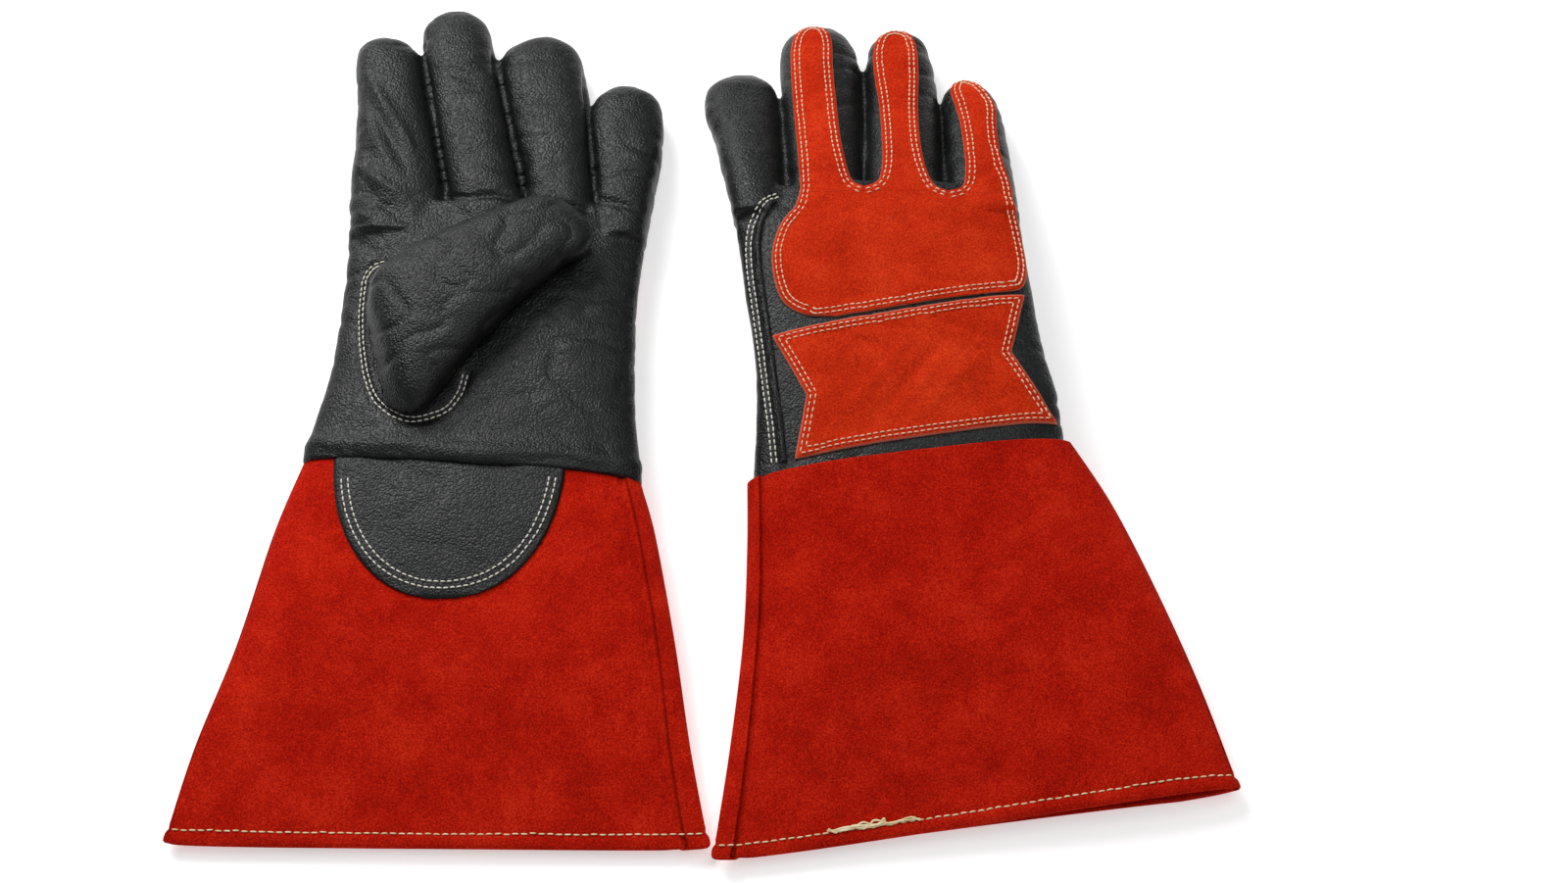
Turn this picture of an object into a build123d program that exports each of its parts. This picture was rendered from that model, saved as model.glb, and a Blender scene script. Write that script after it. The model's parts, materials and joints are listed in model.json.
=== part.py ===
from build123d import *
import math
import os

os.makedirs("parts", exist_ok=True)

# A pair of leather welding gauntlets lying side by side on a table: the left glove palm up with
# its thumb folded over the palm, the right glove back up with its thumb folded underneath.
# X runs across both gloves, Y from the cuffs to the fingers, Z up; the table is z = 0.
# Every panel is a tube of flattened round sections, cut lengthways into its sewn halves.
# A station of a tube is (left point, right point, lowest z, highest z).

PANEL = 2.0  # thickness of a leather or suede panel
LINING = 0.8  # thickness of the cotton lining
PATCH = 1.3  # thickness of a reinforcing patch
THREAD = 0.45  # height of a stitch above its panel
SLIT = 0.1  # air between sewn layers
STITCH_LONG = 2.3  # length of one stitch
STITCH_WIDE = 0.7  # width of one stitch
STITCH_PITCH = 3.4  # from one stitch to the next
ROW_GAP = 2.3  # between the two rows of a double seam
ROUNDNESS = 2.5  # exponent of the section: 2 is an ellipse, more is squarer
SECTION_POINTS = 14  # points that carry one section
FLAT_FROM = 50.0  # the flat underside of a section starts this many degrees below its side
STRIP_WIDE = 21.0  # width of a finger strip
WELT_ASIDE = 3.4  # the welt lies this far beside the index seam's first row
WELT_WIDE = 2.0  # width of the welt
HEM_INSET = 6.0  # the hem's stitches stand this far up from the edge
TALL = 200.0  # taller than anything here, for cutting outlines

# Left glove, palm up.
LEFT_CUFF = [
    ((-216.0, -189.0), (1.5, -191.5), 0.0, 13.0),
    ((-207.0, -152.0), (-6.0, -153.0), 0.0, 19.0),
    ((-193.0, -108.0), (-13.0, -108.0), 0.0, 24.0),
    ((-181.0, -58.0), (-22.0, -60.0), 0.0, 27.0),
    ((-172.0, -27.0), (-28.0, -36.0), 0.0, 28.0),
]
LEFT_HAND = [
    ((-171.0, -26.2), (-29.0, -35.2), 2.0, 28.0),
    ((-162.0, 10.0), (-32.0, 8.0), 2.0, 28.0),
    ((-160.0, 50.0), (-32.0, 50.0), 2.0, 27.0),
    ((-160.0, 95.0), (-27.5, 95.0), 2.0, 25.0),
]
LEFT_FINGERS = {
    "index": [
        ((-159.5, 96.5), (-118.0, 96.5), 2.0, 24.6),
        ((-159.5, 150.0), (-127.5, 150.0), 1.0, 21.0),
        ((-159.5, 170.0), (-132.0, 170.0), 1.0, 19.0),
        ((-156.0, 180.0), (-136.0, 180.0), 2.0, 17.0),
        ((-150.0, 184.5), (-142.0, 184.5), 6.0, 13.0),
    ],
    "middle": [
        ((-113.5, 98.5), (-83.5, 98.5), 2.0, 24.6),
        ((-125.0, 150.0), (-93.5, 150.0), 2.0, 21.0),
        ((-131.8, 184.0), (-101.0, 184.0), 2.0, 19.0),
        ((-128.5, 195.0), (-105.0, 195.0), 3.0, 17.0),
        ((-122.0, 200.5), (-112.0, 200.5), 6.0, 13.0),
    ],
    "ring": [
        ((-79.0, 98.5), (-52.0, 98.5), 2.0, 24.6),
        ((-90.5, 150.0), (-56.5, 150.0), 2.0, 21.0),
        ((-94.0, 170.0), (-59.0, 170.0), 2.0, 19.0),
        ((-91.0, 180.0), (-64.0, 180.0), 3.0, 17.0),
        ((-83.0, 186.0), (-73.0, 186.0), 6.0, 13.0),
    ],
    "little": [
        ((-47.5, 96.5), (-27.5, 96.5), 2.0, 24.6),
        ((-50.0, 120.0), (-24.5, 120.0), 2.0, 22.0),
        ((-51.5, 142.0), (-23.0, 142.0), 2.0, 20.0),
        ((-48.5, 153.0), (-26.0, 153.0), 3.0, 18.0),
        ((-43.0, 160.0), (-35.0, 160.0), 6.0, 13.0),
    ],
}
# The thumb stall lies on the palm; heights here are above the palm's own surface.
THUMB = [
    ((-145.0, 36.0), (-131.0, -3.0), 0.6, 7.0),
    ((-141.0, 50.0), (-119.0, -5.0), 0.6, 15.0),
    ((-129.0, 61.0), (-97.0, 22.0), 0.6, 18.6),
    ((-103.0, 75.0), (-78.0, 44.0), 0.6, 18.8),
    ((-87.0, 82.5), (-66.0, 57.0), 0.6, 16.5),
    ((-75.0, 87.5), (-55.5, 64.0), 1.0, 14.5),
    ((-65.5, 85.0), (-53.5, 71.0), 3.0, 10.5),
]
PALM_HEIGHT_LEFT = 28.0
PALM_HEIGHT_RIGHT = 19.4

# Right glove, back up.
RIGHT_CUFF = [
    ((5.5, -196.0), (216.5, -168.0), 0.0, 18.0),
    ((12.0, -152.0), (203.0, -126.0), 0.0, 24.0),
    ((17.0, -108.0), (187.0, -86.0), 2.5, 31.0),
    ((19.0, -70.0), (169.0, -50.0), 6.0, 38.0),
    ((19.0, -42.0), (154.0, -24.0), 17.0, 45.0),
]
RIGHT_HAND = [
    ((19.5, -41.0), (153.0, -23.0), 17.0, 45.0),
    ((21.0, -18.0), (150.0, -4.0), 20.0, 45.6),
    ((15.0, 55.0), (138.5, 55.0), 20.0, 46.0),
    ((10.0, 94.5), (135.0, 94.5), 18.5, 42.0),
]
RIGHT_FINGERS = {
    "index": [
        ((9.5, 96.2), (32.5, 96.2), 18.5, 41.0),
        ((4.5, 125.0), (32.0, 125.0), 9.0, 32.0),
        ((-1.5, 145.0), (31.5, 145.0), 3.0, 24.0),
        ((3.0, 156.0), (28.0, 156.0), 1.5, 19.0),
        ((11.0, 163.5), (21.0, 163.5), 4.0, 12.0),
    ],
    "middle": [
        ((35.5, 96.2), (66.5, 96.2), 18.5, 41.5),
        ((34.0, 140.0), (67.5, 140.0), 6.0, 28.0),
        ((33.0, 172.0), (67.0, 172.0), 0.5, 21.0),
        ((35.0, 183.0), (62.0, 183.0), 1.0, 18.0),
        ((44.0, 189.5), (56.0, 189.5), 4.0, 12.0),
    ],
    "ring": [
        ((69.5, 96.2), (101.0, 96.2), 18.5, 41.5),
        ((70.0, 140.0), (102.0, 140.0), 6.0, 28.0),
        ((70.5, 170.0), (101.0, 170.0), 0.5, 21.0),
        ((74.0, 181.0), (97.5, 181.0), 1.0, 18.0),
        ((81.0, 187.0), (92.0, 187.0), 4.0, 12.0),
    ],
    "little": [
        ((104.5, 96.2), (134.5, 96.2), 18.5, 40.0),
        ((104.5, 125.0), (132.0, 125.0), 9.0, 30.0),
        ((104.5, 142.0), (129.5, 142.0), 3.0, 23.0),
        ((106.5, 153.0), (126.0, 153.0), 1.5, 18.0),
        ((112.0, 159.5), (120.0, 159.5), 4.0, 12.0),
    ],
}

# Outlines on the back of the hand are drawn on the right glove and carried to the left one.
LEFT_WRIST = (-100.0, -31.0)
RIGHT_WRIST = (86.5, -32.5)
HAND_TURN = 9.0  # the right hand is turned this many degrees from the left one


def carried(point, to_right):
    """A plan point of one glove at the same place on the other glove."""
    here, there = (LEFT_WRIST, RIGHT_WRIST) if to_right else (RIGHT_WRIST, LEFT_WRIST)
    turn = math.radians(HAND_TURN if to_right else -HAND_TURN)
    x = point[0] - here[0]
    y = point[1] - here[1]
    return (
        there[0] + x * math.cos(turn) - y * math.sin(turn),
        there[1] + x * math.sin(turn) + y * math.cos(turn),
    )


def section(station, grow=0.0):
    """One flattened round section with a flat underside, grown outwards all round."""
    (xl, yl), (xr, yr), low, high = station
    span = math.dist((xl, yl), (xr, yr))
    across = ((xr - xl) / span, (yr - yl) / span)
    plane = Plane(
        origin=((xl + xr) / 2, (yl + yr) / 2, (low + high) / 2),
        x_dir=(across[0], across[1], 0),
        z_dir=(across[1], -across[0], 0),
    )
    half_wide = span / 2 + grow
    half_tall = (high - low) / 2 + grow
    first = -math.radians(FLAT_FROM)
    last = math.pi - first
    points = []
    for k in range(SECTION_POINTS):
        angle = first + (last - first) * k / (SECTION_POINTS - 1)
        c = math.cos(angle)
        s = math.sin(angle)
        if s < 0:
            s = s / math.sin(-first)
        points.append(
            (
                half_wide * math.copysign(abs(c) ** (2 / ROUNDNESS), c),
                half_tall * math.copysign(abs(s) ** (2 / ROUNDNESS), s),
            )
        )
    return plane * make_face([Spline(points), Line(points[-1], points[0])])


def tube(stations, grow=0.0):
    """A solid through all the stations."""
    return loft([section(s, grow) for s in stations], ruled=True)


def slid(station, distance):
    """A station moved along its own direction, towards the fingertips."""
    (xl, yl), (xr, yr), low, high = station
    span = math.dist((xl, yl), (xr, yr))
    dx = -(yr - yl) / span * distance
    dy = (xr - xl) / span * distance
    return ((xl + dx, yl + dy), (xr + dx, yr + dy), low, high)


def between(near, far, share):
    """The station at a share of the way from one station to another, or beyond them."""

    def mix(a, b):
        return a + share * (b - a)

    points = [(mix(p[0], q[0]), mix(p[1], q[1])) for p, q in zip(near[:2], far[:2])]
    return (*points, mix(near[2], far[2]), mix(near[3], far[3]))


def open_tube(stations, outer=0.0, wall=PANEL):
    """A tube of one wall, open at both ends."""
    start = between(stations[0], stations[1], -0.05)
    end = between(stations[-1], stations[-2], -0.05)
    return tube(stations, outer) - tube([start, *stations[1:-1], end], outer - wall)


def stall(stations, wall=PANEL):
    """A finger or thumb stall: a tube open at its root and closed at its tip."""
    hollow = [between(stations[0], stations[1], -0.05)]
    for station in stations[1:]:
        hollow.append(slid(station, -wall))
    return tube(stations) - tube(hollow, -wall)


def cut_plane(stations, share):
    """The plane that parts a tube lengthways at a share of its height."""
    ends = []
    for (xl, yl), (xr, yr), low, high in (stations[0], stations[-1]):
        height = low + share * (high - low)
        ends.append(Vector((xl + xr) / 2, (yl + yr) / 2, height))
    along = ends[1] - ends[0]
    sideways = Vector(along.Y, -along.X, 0)
    return Plane(origin=ends[0], x_dir=along, z_dir=sideways.cross(along))


def halves(shell, stations, share=0.5):
    """The lower and upper part of a shell, parted at a share of its height."""
    cut = cut_plane(stations, share)
    lower = split(shell, bisect_by=cut.offset(-SLIT / 2), keep=Keep.BOTTOM)
    upper = split(shell, bisect_by=cut.offset(SLIT / 2), keep=Keep.TOP)
    return lower, upper


def prism(face):
    """A plan outline as a block far taller than the gloves."""
    return extrude(face, amount=TALL / 2, both=True)


def layer(stations, area, upper, inner, thick):
    """A sheet that lies on a tube, inside a plan area, on its upper or lower side."""
    skin = (tube(stations, inner + thick) - tube(stations, inner)) & prism(area)
    keep = Keep.TOP if upper else Keep.BOTTOM
    return split(skin, bisect_by=cut_plane(stations, 0.5), keep=keep)


def height_at(stations, point, upper, grow):
    """Height of a tube's surface over a plan point, or None beside or beyond the tube."""
    for near, far in zip(stations, stations[1:]):
        first = 0.0
        last = 1.0
        for _ in range(20):
            share = (first + last) / 2
            (xl, yl), (xr, yr), low, high = between(near, far, share)
            ahead = (xr - xl) * (point[1] - yl) - (yr - yl) * (point[0] - xl)
            if ahead > 0:
                first = share
            else:
                last = share
        if 0.001 < share < 0.999:
            break
    else:
        return None
    span = math.dist((xl, yl), (xr, yr))
    from_middle = (point[0] - (xl + xr) / 2, point[1] - (yl + yr) / 2)
    across = (from_middle[0] * (xr - xl) + from_middle[1] * (yr - yl)) / span
    side = abs(across) / (span / 2 + grow)
    if side > 0.98:
        return None
    rise = math.sqrt(1 - side**ROUNDNESS)
    if not upper:
        rise = -min(1.0, rise / math.sin(math.radians(FLAT_FROM)))
    half_tall = (high - low) / 2 + grow
    return (low + high) / 2 + half_tall * math.copysign(abs(rise) ** (2 / ROUNDNESS), rise)


def turns_corner(path, share, reach):
    """Whether a path turns sharply within a length either side of a share of it."""
    step = reach / path.length
    if path.is_closed:
        before = (share - step) % 1
        after = (share + step) % 1
    else:
        before = max(0, share - step)
        after = min(1, share + step)
    return (path % before).dot(path % after) < 0.7


def thread_on(stations, paths, upper, inner):
    """The stitches of several (path, offsets) on a tube, each one a separate solid."""
    found = []
    for path, offsets in paths:
        count = int(path.length // STITCH_PITCH)
        for row, aside in enumerate(offsets):
            for k in range(count):
                share = (k + 0.5 + 0.5 * (row % 2)) / (count + 0.5)
                if turns_corner(path, share, STITCH_LONG / 2 + abs(aside)):
                    continue
                here = path @ share
                along = path % share
                spot = (here.X - along.Y * aside, here.Y + along.X * aside)
                height = height_at(stations, spot, upper, inner)
                if height is None:
                    continue
                angle = math.degrees(math.atan2(along.Y, along.X))
                place = Pos(*spot, height) * Rot(0, 0, angle)
                found.append(place * Box(STITCH_LONG, STITCH_WIDE, 2 * THREAD))
    return Compound(children=found)


def outline(points_and_arcs):
    """A wire: after the first point, each item is an end point, or (middle, end) of an arc."""
    edges = []
    at = points_and_arcs[0]
    for item in points_and_arcs[1:]:
        if isinstance(item[0], tuple):
            edges.append(ThreePointArc(at, item[0], item[1]))
            at = item[1]
        else:
            edges.append(Line(at, item))
            at = item
    return Wire(edges)


def carried_items(items, to_right):
    """An outline of one glove at the same place on the other glove."""
    moved = []
    for item in items:
        if isinstance(item[0], tuple):
            moved.append((carried(item[0], to_right), carried(item[1], to_right)))
        else:
            moved.append(carried(item, to_right))
    return moved


KNUCKLE_OUTLINE = [
    (40.0, 94.0),
    ((37.0, 79.0), (28.0, 63.0)),
    ((31.0, 37.0), (46.0, 26.0)),
    (131.0, 41.0),
    ((136.5, 47.0), (136.0, 60.0)),
    ((132.5, 77.0), (130.5, 94.0)),
    (40.0, 94.0),
]
BOW_OUTLINE = [
    (30.0, 19.0),
    ((45.0, -9.0), (38.5, -33.0)),
    ((90.0, -27.5), (145.5, -15.5)),
    ((128.0, 11.0), (135.0, 38.0)),
    ((81.0, 26.5), (30.0, 19.0)),
]
INDEX_SEAM = [(26.5, 85.0), ((18.0, 66.0), (19.0, 40.0)), (27.0, -36.0)]
THUMB_SEAM = [
    (-141.0, 66.0),
    ((-152.5, 35.0), (-134.0, -8.0)),
    ((-121.0, -15.0), (-104.0, -1.0)),
]
HEEL_CENTRE = (-108.0, -31.0)
HEEL_HALF_WIDE = 49.0
HEEL_DEEP = 62.0


def finger_strip(stations):
    """The plan outline of the strip along one finger's back."""
    centres = []
    for (xl, yl), (xr, yr), _, _ in stations:
        centres.append(((xl + xr) / 2, (yl + yr) / 2))
    half = STRIP_WIDE / 2
    root = centres[0]
    neck = centres[-3]
    end = centres[-2]
    return outline(
        [
            (root[0] - half, root[1] + 1),
            (root[0] + half, root[1] + 1),
            (neck[0] + half, neck[1]),
            (end, (neck[0] - half, neck[1])),
            (root[0] - half, root[1] + 1),
        ]
    )


def save(glove, name, shape):
    export_step(shape, f"parts/{glove}_{name}.step")


def make_cuff(glove, stations, palm_up):
    """Suede cuff: palm panel, wrapped back panel, lining, hem stitching and heel patch."""
    shell = open_tube(stations)
    lower, upper = halves(shell, stations, 0.62 if palm_up else 0.38)
    save(glove, "cuff_palm_panel", upper if palm_up else lower)
    save(glove, "cuff_back_panel", lower if palm_up else upper)

    inner = [between(stations[0], stations[1], 0.5), *stations[1:]]
    save(glove, "cuff_lining", open_tube(inner, -PANEL - SLIT, LINING))

    hem = Line(*slid(stations[0], HEM_INSET)[:2])
    save(glove, "cuff_hem_stitching", thread_on(stations, [(hem, [0.0])], True, SLIT))

    centre = HEEL_CENTRE if palm_up else carried(HEEL_CENTRE, True)
    turn = 0.0 if palm_up else HAND_TURN
    place = Pos(*centre) * Rot(0, 0, turn)
    wrist_side = place * Pos(0, TALL / 2 - 1.5) * Rectangle(2 * TALL, TALL)
    patch = place * Ellipse(HEEL_HALF_WIDE, HEEL_DEEP) - wrist_side
    save(glove, "heel_patch", layer(stations, patch, palm_up, SLIT, PATCH))
    rows = []
    for inset in (4.0, 4.0 + ROW_GAP):
        curve = EllipticalCenterArc(
            (0, 0), HEEL_HALF_WIDE - inset, HEEL_DEEP - inset, start_angle=188, arc_size=164
        )
        rows.append((place * curve, [0.0]))
    save(
        glove,
        "heel_patch_stitching",
        thread_on(stations, rows, palm_up, 2 * SLIT + PATCH),
    )


def make_hand(glove, stations, palm_up):
    """Hand tube: palm and back panels, lining, knuckle and wrist patches and their seams."""
    lower, upper = halves(open_tube(stations), stations)
    save(glove, "palm_panel", upper if palm_up else lower)
    save(glove, "back_panel", lower if palm_up else upper)
    save(glove, "hand_lining", open_tube(stations, -PANEL - SLIT, LINING))

    for name, items in (("knuckle_patch", KNUCKLE_OUTLINE), ("wrist_patch", BOW_OUTLINE)):
        edge = outline(carried_items(items, False) if palm_up else items)
        save(glove, name, layer(stations, make_face(edge), not palm_up, SLIT, PATCH))
        rows = [(edge, [2.2, 2.2 + ROW_GAP])]
        save(
            glove,
            f"{name}_stitching",
            thread_on(stations, rows, not palm_up, 2 * SLIT + PATCH),
        )

    seam = outline(carried_items(INDEX_SEAM, False) if palm_up else INDEX_SEAM)
    rows = [(seam, [0.0, -ROW_GAP])]
    save(glove, "index_seam_stitching", thread_on(stations, rows, not palm_up, SLIT))
    welt = trace(Pos(WELT_ASIDE, 0) * seam, WELT_WIDE)
    save(glove, "index_seam_welt", layer(stations, welt, not palm_up, SLIT, PATCH))

    loop = outline(THUMB_SEAM if palm_up else carried_items(THUMB_SEAM, True))
    save(glove, "thumb_stitching", thread_on(stations, [(loop, [0.0, ROW_GAP])], palm_up, SLIT))


def make_finger(glove, name, stations, palm_up):
    """A finger stall: its palm side (front), its back and, but for the index, its strip."""
    lower, upper = halves(stall(stations), stations)
    save(glove, f"{name}_finger_front", upper if palm_up else lower)
    save(glove, f"{name}_finger_back", lower if palm_up else upper)
    if name != "index":
        strip = make_face(finger_strip(stations))
        save(glove, f"{name}_finger_strip", layer(stations, strip, not palm_up, SLIT, PATCH))


def make_thumb(glove, palm_up):
    """The thumb stall, on top of the left palm or underneath the right one."""
    stations = []
    for left, right, near, far in THUMB:
        if palm_up:
            low = PALM_HEIGHT_LEFT + near
            high = PALM_HEIGHT_LEFT + far
        else:
            left = carried(left, True)
            right = carried(right, True)
            low = PALM_HEIGHT_RIGHT - far
            high = PALM_HEIGHT_RIGHT - near
        stations.append((left, right, low, high))
    lower, upper = halves(stall(stations), stations)
    save(glove, "thumb_front", upper if palm_up else lower)
    save(glove, "thumb_back", lower if palm_up else upper)


def make_glove(glove, cuff, hand, fingers, palm_up):
    make_cuff(glove, cuff, palm_up)
    make_hand(glove, hand, palm_up)
    for name, stations in fingers.items():
        make_finger(glove, name, stations, palm_up)
    make_thumb(glove, palm_up)


make_glove("left", LEFT_CUFF, LEFT_HAND, LEFT_FINGERS, palm_up=True)
make_glove("right", RIGHT_CUFF, RIGHT_HAND, RIGHT_FINGERS, palm_up=False)
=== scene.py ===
import json
import math

import bpy
import numpy as np
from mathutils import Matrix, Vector, noise
from mathutils.bvhtree import BVHTree


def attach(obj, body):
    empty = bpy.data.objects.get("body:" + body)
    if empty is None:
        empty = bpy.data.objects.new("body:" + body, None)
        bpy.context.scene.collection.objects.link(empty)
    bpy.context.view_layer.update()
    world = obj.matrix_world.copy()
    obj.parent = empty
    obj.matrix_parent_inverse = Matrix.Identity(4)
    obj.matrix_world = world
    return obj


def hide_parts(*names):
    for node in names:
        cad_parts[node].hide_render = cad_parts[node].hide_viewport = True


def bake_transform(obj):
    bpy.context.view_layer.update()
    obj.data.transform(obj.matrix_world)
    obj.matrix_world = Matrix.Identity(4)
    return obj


# A pair of leather welding gauntlets: the left glove palm up, the right glove back up.
# Plan sizes below are millimetres in the frame; MM turns them into metres.
MM = 0.001
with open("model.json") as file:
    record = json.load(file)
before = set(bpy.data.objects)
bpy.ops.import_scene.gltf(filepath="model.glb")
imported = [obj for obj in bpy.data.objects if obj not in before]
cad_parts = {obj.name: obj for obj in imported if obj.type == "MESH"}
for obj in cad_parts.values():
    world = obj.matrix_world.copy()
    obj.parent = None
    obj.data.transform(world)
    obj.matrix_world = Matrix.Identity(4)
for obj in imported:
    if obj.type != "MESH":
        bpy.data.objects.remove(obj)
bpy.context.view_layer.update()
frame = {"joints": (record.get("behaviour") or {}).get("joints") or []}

VOXEL = 1.15  # size of the hands' remeshed faces
THUMB_VOXEL = 0.85 * VOXEL
SMOOTH_ROUNDS = 3
FINGER_PUFF = 0.65  # extra half thickness of the fingers, so that they touch
SKIN_LOWEST = 0.25  # height above the table that the hands and thumbs keep
THUMB_LOWEST = 0.3  # the same for the right thumb before its creases are made
PATCH = 1.3  # thickness of a sewn-on patch
SUEDE = 1.9  # thickness of a cuff panel
LINING = 0.8  # thickness of the cotton lining
LINING_GAP = 0.9  # between the lining and a cuff's top panel
LINING_LOWEST = 1.2  # height above the table that the lining keeps
UNDER_PUFF = 0.9  # the under panel of a cuff stands this far outside the top one
HEM_AT = 0.034  # the hem's stitches, as a share of the cuff's length
LIP_REACH = 0.42  # share of the cuff's length over which the mouth's upper lip sinks
LIP_FORWARD = 4.2  # how far forward a lip that has sunk right down is pushed
LEFT_DROOP = (0.5, 0.5)  # how far the lip has sunk at its left and right ends, from 0 to 1
RIGHT_DROOP = (0.62, 0.0)
THREAD_WIDE = 0.68
THREAD_TALL = 0.75
STITCH_SHARE = 0.78  # a stitch's length as a share of the pitch
STITCH_SIDES = 6
# A stitch's sections: place along it and width, both as shares.
STITCH_PROFILE = [(-0.5, 0.35), (-0.3, 0.95), (0.0, 1.0), (0.3, 0.95), (0.5, 0.35)]
HEM_PITCH = 3.5
SEAM_PITCH = 2.75
ROW_GAP = 2.0
PATCH_ROWS = (2.0, 2.0 + ROW_GAP)  # a patch's two rows of thread, in from its edge
HEEL_ROWS = (3.6, 6.4)  # the same for the heel patch
FINGER_BEND = (-2.5, 24)
AHEAD_SIGN = {"left": 1, "right": -1}  # finger and thumb axes point the other way on the right
HAND_TURN = 9.0  # the right hand is turned this many degrees from the left one
LEFT_WRIST = (-100.0, -31.0)
RIGHT_WRIST = (86.5, -32.5)
CAMERA_AIM = Vector((33.0, -10.0, 0.0)) * MM
CAMERA_FAR = 1225.0 * MM
CAMERA_ELEVATION = math.radians(65.0)

# A station is left x, left y, right x, right y, lowest z and highest z of one section.
LEFT_CUFF = [
    (-216, -189.5, 1.5, -191.5, 0, 12.5),
    (-207, -152, -6, -153, 0, 18),
    (-193, -108, -13, -108, 0, 23),
    (-181, -58, -22, -60, 0, 26),
    (-171, -27, -28.5, -36, 0.8, 26),
    (-167, -15, -30, -24, 1.5, 25),
]
LEFT_HAND = [
    (-172.5, -28, -27, -37, 0.6, 28.4),
    (-168, -10, -29, -16, 1.8, 28.2),
    (-162, 20, -31, 18, 2, 27.6),
    (-160, 55, -31, 52, 2, 27),
    (-160, 82, -28, 78, 2, 25.6),
    (-159.5, 98, -26, 96, 2, 23.6),
]
LEFT_FINGERS = {
    "index": [
        (-159.5, 82, -117, 82, 2, 25),
        (-159.5, 105, -117.6, 105, 2, 24),
        (-159.5, 150, -126.8, 150, 1, 22),
        (-161.5, 171, -131.6, 171, 1, 20.5),
        (-160.5, 182, -136, 181.5, 2, 18),
        (-153.5, 188, -142, 187, 5, 14),
    ],
    "middle": [
        (-114.5, 84, -79.5, 84, 2, 25),
        (-116.8, 105, -82.9, 105, 2, 26),
        (-126.2, 150, -92.8, 150, 2, 24.5),
        (-131.6, 182, -100.2, 182, 2, 21.5),
        (-130.4, 195.5, -104, 195, 3, 18),
        (-123, 202.5, -112, 202.5, 6, 14),
    ],
    "ring": [
        (-79, 84, -50.5, 84, 2, 24.4),
        (-82.4, 105, -51.4, 105, 2, 25),
        (-92.2, 150, -55.6, 150, 2, 23),
        (-96, 170, -58.9, 170, 2, 21),
        (-93.6, 181.5, -63, 181.5, 3, 18),
        (-84, 188, -73, 188, 6, 14),
    ],
    "little": [
        (-50, 80, -28, 80, 2, 24),
        (-50.9, 105, -25, 105, 2, 23.2),
        (-53, 125, -22, 125, 2, 22.5),
        (-54.4, 143, -21.6, 143, 2, 21),
        (-51, 155, -24.5, 155, 3, 18.5),
        (-43.5, 162, -34.5, 162, 6, 14),
    ],
}
THUMB = [
    (-146, 32, -136, -8, 25.5, 33),
    (-145.5, 47, -120, -12, 25.8, 42.5),
    (-137, 60, -101.5, 13, 26.2, 47),
    (-112, 73.5, -79.5, 40, 26.8, 47.6),
    (-90, 84, -64, 55.5, 27.4, 46.6),
    (-75, 91, -52.5, 62.5, 28.5, 44.6),
    (-63, 90, -48.5, 71, 31, 40.5),
]
PALM_HEIGHT_LEFT = 28.0
PALM_HEIGHT_RIGHT = 19.6
RIGHT_CUFF = [
    (5.5, -196.5, 216.5, -168, 0, 17),
    (12, -152, 203, -126, 0, 24),
    (17, -108, 187, -86, 2, 32),
    (18.5, -70, 170, -50, 6, 39.5),
    (18.5, -44, 154, -26, 14, 45.5),
]
RIGHT_HAND = [
    (20.5, -52, 153, -34, 13, 42.5),
    (20.5, -41, 151.5, -23, 16, 44),
    (21.5, -18, 148.5, -4, 20, 45.2),
    (21, 10, 143.5, 16, 20, 46),
    (15.5, 52, 138.5, 52, 20, 46),
    (11, 82, 136, 82, 19, 43.8),
    (9.5, 97, 135, 97, 17.5, 40.5),
]
RIGHT_FINGERS = {
    "index": [
        (10.5, 82, 34.5, 82, 19, 42),
        (7.5, 105, 32.6, 105, 14.5, 37.5),
        (3.5, 128, 31.8, 128, 8, 30.5),
        (-2.5, 147, 31, 147, 3, 24.5),
        (-1.5, 160, 28, 160, 1.5, 20),
        (7.5, 168, 21, 168, 4, 13.5),
    ],
    "middle": [
        (35, 82, 67, 82, 19, 43),
        (35, 105, 66.6, 105, 15.5, 39.5),
        (33.6, 140, 67.6, 140, 6, 31),
        (32, 174, 66.5, 174, 0.5, 23.5),
        (34.5, 186, 62, 186, 1, 19.5),
        (43, 193.5, 56, 193.5, 4, 13),
    ],
    "ring": [
        (69, 82, 101.5, 82, 19, 43),
        (69.4, 105, 101.6, 105, 15.5, 39.5),
        (70.2, 140, 101.8, 140, 6, 31),
        (70.6, 171, 101, 171, 0.5, 23.5),
        (73, 184, 97.5, 184, 1, 19.5),
        (81, 191, 92, 191, 4, 13),
    ],
    "little": [
        (103.5, 82, 136, 82, 19, 42),
        (104.4, 105, 134, 105, 14.5, 37.5),
        (104.8, 125, 132.8, 125, 9, 31),
        (104.6, 145, 130.5, 145, 3, 25),
        (106, 157, 126, 157, 1.5, 20),
        (111, 164.5, 120.5, 164.5, 4, 13),
    ],
}

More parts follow.
